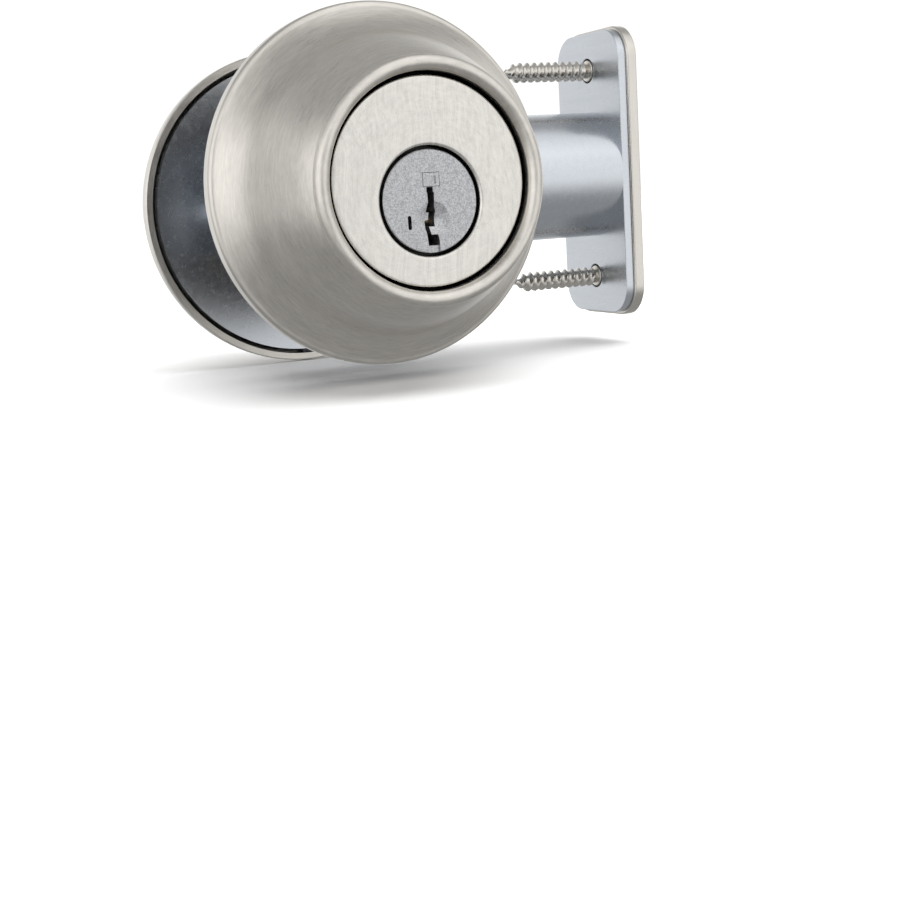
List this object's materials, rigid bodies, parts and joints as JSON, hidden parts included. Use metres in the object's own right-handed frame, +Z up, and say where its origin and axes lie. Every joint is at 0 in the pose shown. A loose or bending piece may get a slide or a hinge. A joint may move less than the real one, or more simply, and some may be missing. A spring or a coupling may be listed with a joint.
{
  "type": "deadbolt door lock",
  "caption": "Single cylinder deadbolt lock with a flared satin collar, key plug, bolt case, torque blade and interior thumbturn, set as in a door.",
  "frame": {"origin": "centre of the guard's back rim, on the outer face of the door", "axes": "-Y out of the door towards the key side, +Y through the door to the thumbturn, +X along the bolt's throw, +Z up"},
  "size_m": [0.0913, 0.104, 0.065],
  "materials": {
    "satin_nickel": "warm satin nickel, brushed round the axis",
    "satin_nickel_face": "bright satin nickel, finely swirled",
    "plug_nickel": "blasted nickel, matt",
    "hardened_steel": "ground, dark",
    "zinc": "die cast, matt",
    "zinc_plated_steel": "bright zinc plate",
    "spring_steel": "tempered spring steel",
    "black_oxide": "black oxide",
    "brass": "machined",
    "black_nylon": "moulded nylon"
  },
  "bodies": {
    "lock": {"cylinder_housing": "satin_nickel_face", "cylinder_shell": "brass", "bore_adapter_ring": "black_nylon", "bolt_faceplate": "satin_nickel", "bolt_backplate": "zinc_plated_steel", "bolt_tube": "zinc_plated_steel", "case_plate_front": "zinc_plated_steel", "case_plate_rear": "zinc_plated_steel", "case_rivets": "zinc_plated_steel", "detent_spring": "spring_steel", "faceplate_screws": "satin_nickel", "mounting_plate": "zinc_plated_steel", "mounting_screws": "zinc_plated_steel", "interior_rose": "satin_nickel", "rose_set_screw": "black_oxide"},
    "guard": {"cylinder_guard": "satin_nickel", "guard_liner": "hardened_steel"},
    "turn": {"thumbturn": "satin_nickel", "thumbturn_clip": "spring_steel", "wave_washer": "spring_steel", "torque_blade": "zinc_plated_steel", "blade_driver": "zinc", "bolt_cam": "zinc_plated_steel"},
    "bolt": {"bolt": "satin_nickel", "hardened_pin": "hardened_steel", "bolt_bar": "zinc_plated_steel", "bar_drive_pin": "hardened_steel", "bolt_bar_rivet": "zinc_plated_steel"},
    "plug": {"key_plug": "plug_nickel", "keyway_insert": "plug_nickel", "anti_drill_pins": "hardened_steel", "rack_carrier": "zinc", "locking_bar": "hardened_steel", "locking_bar_springs": "spring_steel", "plug_clip": "spring_steel", "follower_spring_1": "spring_steel", "follower_spring_2": "spring_steel", "follower_spring_3": "spring_steel", "follower_spring_4": "spring_steel", "follower_spring_5": "spring_steel"},
    "follower_1": {"follower_pin_1": "brass", "follower_rack_1": "brass"},
    "follower_2": {"follower_pin_2": "brass", "follower_rack_2": "brass"},
    "follower_3": {"follower_pin_3": "brass", "follower_rack_3": "brass"},
    "follower_4": {"follower_pin_4": "brass", "follower_rack_4": "brass"},
    "follower_5": {"follower_pin_5": "brass", "follower_rack_5": "brass"}
  },
  "joints": [
    {"name": "guard_spin", "type": "hinge", "parent": "lock", "child": "guard", "pos_m": [0, 0, 0], "axis": [0, 1, 0], "continuous": true},
    {"name": "thumbturn_turn", "type": "hinge", "parent": "lock", "child": "turn", "pos_m": [0, 0.04445, -0.003], "axis": [0, 1, 0], "range_deg": [0, 90]},
    {"name": "bolt_throw", "type": "slide", "parent": "lock", "child": "bolt", "axis": [1, 0, 0], "range_m": [0, 0.0254]},
    {"name": "key_turn", "type": "hinge", "parent": "turn", "child": "plug", "pos_m": [0, 0, -0.003], "axis": [0, 1, 0], "range_deg": [-90, 0]},
    {"name": "follower_lift_1", "type": "slide", "parent": "plug", "child": "follower_1", "axis": [0, 0, 1], "range_m": [0, 0.0024], "stiffness_N_per_m": 25, "springref_m": -0.001, "deforming": ["follower_spring_1"]},
    {"name": "follower_lift_2", "type": "slide", "parent": "plug", "child": "follower_2", "axis": [0, 0, 1], "range_m": [0, 0.0024], "stiffness_N_per_m": 25, "springref_m": -0.001, "deforming": ["follower_spring_2"]},
    {"name": "follower_lift_3", "type": "slide", "parent": "plug", "child": "follower_3", "axis": [0, 0, 1], "range_m": [0, 0.0024], "stiffness_N_per_m": 25, "springref_m": -0.001, "deforming": ["follower_spring_3"]},
    {"name": "follower_lift_4", "type": "slide", "parent": "plug", "child": "follower_4", "axis": [0, 0, 1], "range_m": [0, 0.0024], "stiffness_N_per_m": 25, "springref_m": -0.001, "deforming": ["follower_spring_4"]},
    {"name": "follower_lift_5", "type": "slide", "parent": "plug", "child": "follower_5", "axis": [0, 0, 1], "range_m": [0, 0.0024], "stiffness_N_per_m": 25, "springref_m": -0.001, "deforming": ["follower_spring_5"]}
  ],
  "couplings": [
    {"joint": "thumbturn_turn", "follows": "bolt_throw", "rad_per_m": 61.842}
  ]
}
